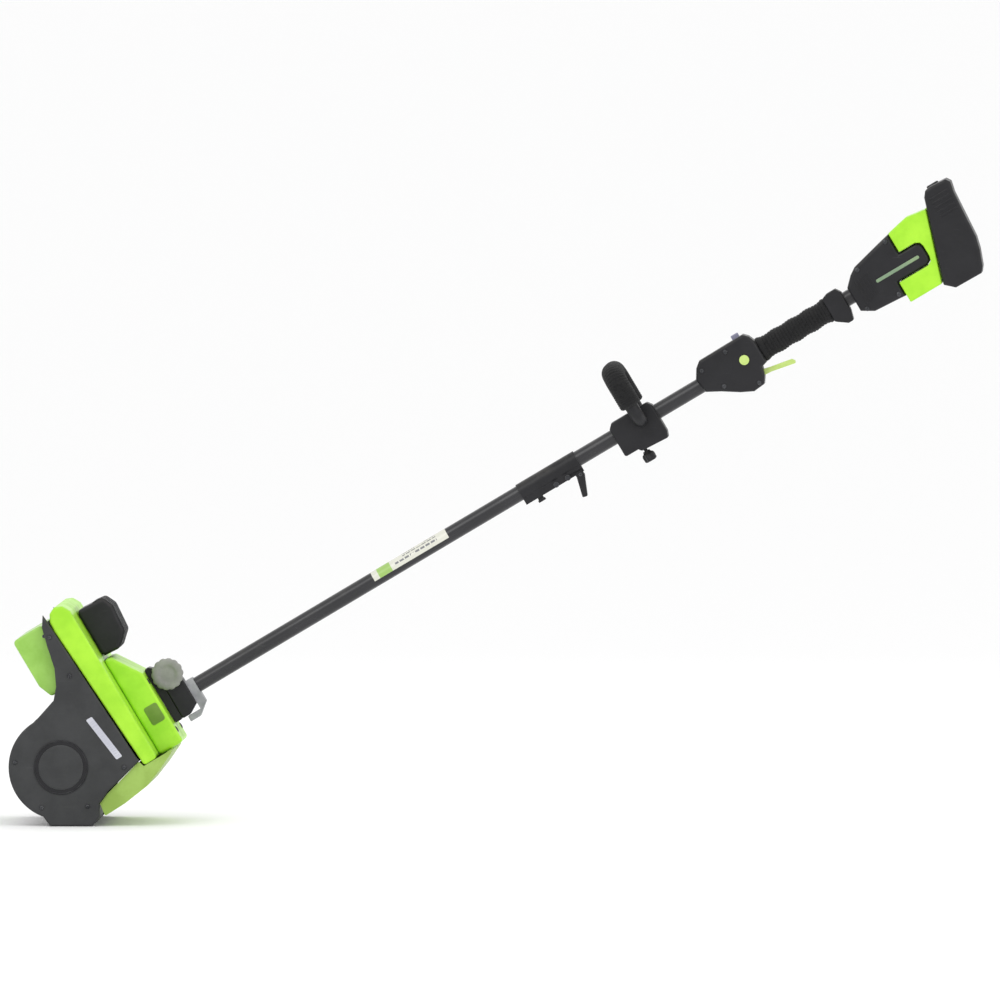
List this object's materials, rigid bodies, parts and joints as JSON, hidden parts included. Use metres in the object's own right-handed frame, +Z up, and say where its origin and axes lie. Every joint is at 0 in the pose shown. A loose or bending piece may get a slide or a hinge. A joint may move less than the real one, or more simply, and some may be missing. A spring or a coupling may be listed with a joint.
{
  "type": "pole-mounted rotor shovel",
  "caption": "Battery pole tool: a belt-driven paddle rotor in a wide hooded housing on a split pole with loop handle, trigger housing and rear battery power unit.",
  "frame": {"origin": "middle of the scraper bar's flat foot, on the ground, under the head's rear edge of the rotor opening", "axes": "+X rearwards along the ground from the head to the battery, +Y to the machine's right, +Z up"},
  "size_m": [1.5713, 0.3076, 1.0447],
  "materials": {
    "lime_plastic": "moulded, semi-gloss",
    "deflector_plastic": "moulded, slightly translucent",
    "olive_plastic": "moulded, matte",
    "charcoal_plastic": "fine moulded grain",
    "black_plastic": "fine moulded grain",
    "plate_steel": "black powder coat",
    "pole_coating": "black powder coat",
    "shaft_steel": "turned",
    "gear_steel": "machined",
    "cast_aluminium": "sand cast",
    "paddle_rubber": "moulded rubber",
    "grip_foam": "soft foam",
    "belt_rubber": "fabric-backed",
    "badge_plate": "plain",
    "label_film": "plain printed film",
    "button_green": "moulded",
    "switch_plastic": "moulded",
    "winding_copper": "enamelled windings",
    "electronics": "circuit board",
    "bush_plastic": "acetal",
    "fastener_steel": "zinc plated"
  },
  "bodies": {
    "power_unit": {"upper_tube": "pole_coating", "coupler_body": "black_plastic", "unit_fasteners": "fastener_steel", "upper_shaft_bushes": "bush_plastic", "trigger_housing_left": "black_plastic", "trigger_housing_right": "black_plastic", "rear_grip": "grip_foam", "grip_collar": "black_plastic", "motor_housing_left": "black_plastic", "motor_housing_right": "black_plastic", "motor_stator": "winding_copper", "battery_mount": "lime_plastic", "control_electronics": "electronics"},
    "attachment": {"left_side_plate": "plate_steel", "right_side_plate": "plate_steel", "left_side_cover": "charcoal_plastic", "right_side_cover": "charcoal_plastic", "head_fasteners": "fastener_steel", "hub_cap": "charcoal_plastic", "side_badge": "badge_plate", "hood_shell": "lime_plastic", "gearbox_fairing": "lime_plastic", "rear_panel": "olive_plastic", "vent_cap": "black_plastic", "rotor_liner": "plate_steel", "scraper_bar": "black_plastic", "drive_belt": "belt_rubber", "bearings": "gear_steel", "gear_case": "cast_aluminium", "gear_case_cover": "cast_aluminium", "collar_plate": "black_plastic", "pole_clamp": "black_plastic", "tube_saddle": "cast_aluminium", "lower_tube": "pole_coating", "lower_shaft_bushes": "bush_plastic", "pole_label": "label_film"},
    "rotor": {"rotor_shaft": "shaft_steel", "rotor_drum": "black_plastic", "rotor_paddles": "paddle_rubber", "large_pulley": "gear_steel"},
    "reduction_shaft": {"cross_shaft": "shaft_steel", "crown_gear": "gear_steel"},
    "lower_drive": {"lower_drive_shaft": "shaft_steel", "pinion_gear": "gear_steel"},
    "upper_drive": {"upper_drive_shaft": "shaft_steel", "motor_rotor": "gear_steel", "motor_fan": "black_plastic"},
    "deflector": {"discharge_flap": "deflector_plastic"},
    "clamp_knob": {"clamp_knob": "cast_aluminium"},
    "release_button": {"release_button": "black_plastic"},
    "clamp_lever": {"clamp_lever": "black_plastic"},
    "handle": {"handle_clamp": "black_plastic", "loop_handle": "black_plastic", "loop_grip": "grip_foam"},
    "handle_knob": {"handle_knob": "black_plastic"},
    "trigger": {"trigger": "button_green"},
    "lock_off_button": {"lock_off_button": "button_green"},
    "top_switch": {"top_switch": "switch_plastic"},
    "battery": {"battery_pack": "black_plastic"},
    "battery_latch": {"battery_latch": "charcoal_plastic"}
  },
  "joints": [
    {"name": "attachment_slide", "type": "slide", "parent": "power_unit", "child": "attachment", "axis": [-0.859, 0, -0.512], "range_m": [0, 0.05]},
    {"name": "rotor_spin", "type": "hinge", "parent": "attachment", "child": "rotor", "pos_m": [-0.04, 0, 0.095], "axis": [0, 1, 0], "continuous": true},
    {"name": "reduction_spin", "type": "hinge", "parent": "attachment", "child": "reduction_shaft", "pos_m": [0.04332, 0, 0.14467], "axis": [0, 1, 0], "continuous": true},
    {"name": "lower_drive_spin", "type": "hinge", "parent": "attachment", "child": "lower_drive", "pos_m": [0.04332, 0, 0.14467], "axis": [0.859, 0, 0.512], "continuous": true},
    {"name": "upper_drive_spin", "type": "hinge", "parent": "power_unit", "child": "upper_drive", "pos_m": [0.74423, 0, 0.56249], "axis": [0.859, 0, 0.512], "continuous": true},
    {"name": "deflector_tilt", "type": "hinge", "parent": "attachment", "child": "deflector", "pos_m": [-0.06821, 0, 0.30637], "axis": [0, 1, 0], "range_deg": [0, 30]},
    {"name": "clamp_knob_turn", "type": "hinge", "parent": "attachment", "child": "clamp_knob", "pos_m": [0.12548, 0, 0.24022], "axis": [0, 1, 0], "continuous": true},
    {"name": "release_press", "type": "slide", "parent": "power_unit", "child": "release_button", "axis": [-0.512, 0, 0.859], "range_m": [0, 0.003], "stiffness_N_per_m": 400, "springref_m": -0.002},
    {"name": "clamp_lever_swing", "type": "hinge", "parent": "power_unit", "child": "clamp_lever", "pos_m": [0.79431, 0, 0.56441], "axis": [0, 1, 0], "range_deg": [-70, 0]},
    {"name": "handle_slide", "type": "slide", "parent": "power_unit", "child": "handle", "axis": [0.859, 0, 0.512], "range_m": [-0.05, 0.05]},
    {"name": "handle_knob_turn", "type": "hinge", "parent": "handle", "child": "handle_knob", "pos_m": [0.90297, 0, 0.59891], "axis": [-0.512, 0, 0.859], "continuous": true},
    {"name": "trigger_pull", "type": "hinge", "parent": "power_unit", "child": "trigger", "pos_m": [1.0841, 0, 0.72668], "axis": [0, -1, 0], "range_deg": [0, 8], "stiffness_Nm_per_rad": 0.6, "springref_deg": -5.73},
    {"name": "lock_off_press", "type": "slide", "parent": "power_unit", "child": "lock_off_button", "axis": [0, 1, 0], "range_m": [0, 0.003], "stiffness_N_per_m": 400, "springref_m": -0.001},
    {"name": "top_switch_slide", "type": "slide", "parent": "power_unit", "child": "top_switch", "axis": [0.859, 0, 0.512], "range_m": [0, 0.004]},
    {"name": "battery_slide", "type": "slide", "parent": "power_unit", "child": "battery", "axis": [-0.2176, 0, 0.976], "range_m": [0, 0.1]},
    {"name": "battery_latch_press", "type": "slide", "parent": "battery", "child": "battery_latch", "axis": [0.512, 0, -0.859], "range_m": [0, 0.003], "stiffness_N_per_m": 400, "springref_m": -0.001}
  ],
  "couplings": [
    {"joint": "reduction_spin", "follows": "rotor_spin", "ratio": 3.3333},
    {"joint": "lower_drive_spin", "follows": "rotor_spin", "ratio": 5},
    {"joint": "upper_drive_spin", "follows": "rotor_spin", "ratio": 5}
  ]
}
